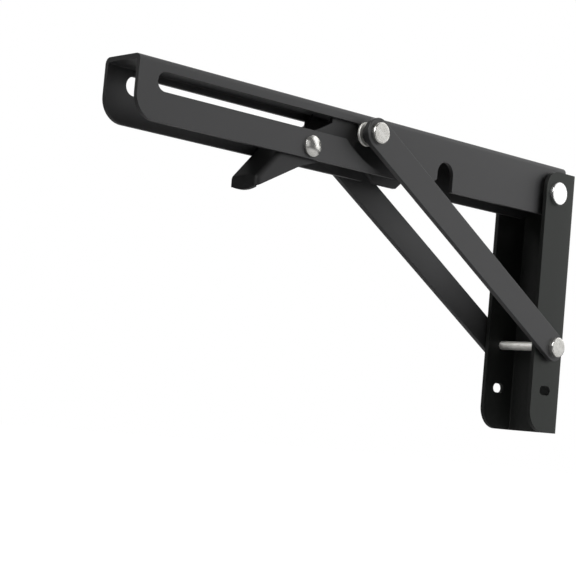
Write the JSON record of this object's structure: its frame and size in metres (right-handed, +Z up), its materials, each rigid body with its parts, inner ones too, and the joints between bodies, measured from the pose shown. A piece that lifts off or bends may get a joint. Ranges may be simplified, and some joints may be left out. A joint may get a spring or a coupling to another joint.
{
  "type": "drop leaf table bracket",
  "caption": "Folding shelf and table leaf bracket: slotted arm channel hinged in a wall channel, braced by sliding struts and held up by a sprung release lever.",
  "frame": {"origin": "centre of the wall channel's back face, on the wall", "axes": "+X into the wall, -X along the arm away from the wall, +Z up, Y across the bracket"},
  "size_m": [0.3, 0.0486, 0.1451],
  "materials": {
    "black_paint": "satin",
    "bright_zinc": "satin",
    "dark_oxide": "satin",
    "spring_wire": "satin"
  },
  "bodies": {
    "wall": {"wall_channel": "black_paint", "main_pivot_rivet": "bright_zinc", "foot_axle": "bright_zinc", "main_pivot_washer_left": "dark_oxide", "main_pivot_washer_right": "dark_oxide", "foot_washer_left": "dark_oxide", "foot_washer_right": "dark_oxide"},
    "arm": {"arm_channel": "black_paint", "lever_rivet": "bright_zinc"},
    "slide_pins": {"slide_pin_left": "bright_zinc", "slide_washer_left": "bright_zinc", "slide_spacer_left": "dark_oxide", "slide_pin_right": "bright_zinc", "slide_washer_right": "bright_zinc", "slide_spacer_right": "dark_oxide"},
    "struts": {"strut_left": "black_paint", "foot_rivet_left": "bright_zinc", "strut_right": "black_paint", "foot_rivet_right": "bright_zinc"},
    "lever": {"release_lever": "black_paint", "lever_spring": "spring_wire"}
  },
  "joints": [
    {"name": "arm_fold", "type": "hinge", "parent": "wall", "child": "arm", "pos_m": [-0.0162, 0, 0.0586], "axis": [0, -1, 0], "range_deg": [0, 90]},
    {"name": "pin_slide", "type": "slide", "parent": "arm", "child": "slide_pins", "axis": [-1, 0, 0], "range_m": [0, 0.11045]},
    {"name": "strut_swing", "type": "hinge", "parent": "slide_pins", "child": "struts", "pos_m": [-0.1606, 0, 0.06465], "axis": [0, -1, 0], "range_deg": [0, 28.4]},
    {"name": "lever_press", "type": "hinge", "parent": "arm", "child": "lever", "pos_m": [-0.1957, 0, 0.0525], "axis": [0, 1, 0], "range_deg": [0, 28], "stiffness_Nm_per_rad": 0.25, "springref_deg": -20.05}
  ],
  "couplings": [
    {"joint": "pin_slide", "follows": "arm_fold", "m_per_rad": 0.070285},
    {"joint": "strut_swing", "follows": "arm_fold", "ratio": 0.31501}
  ]
}
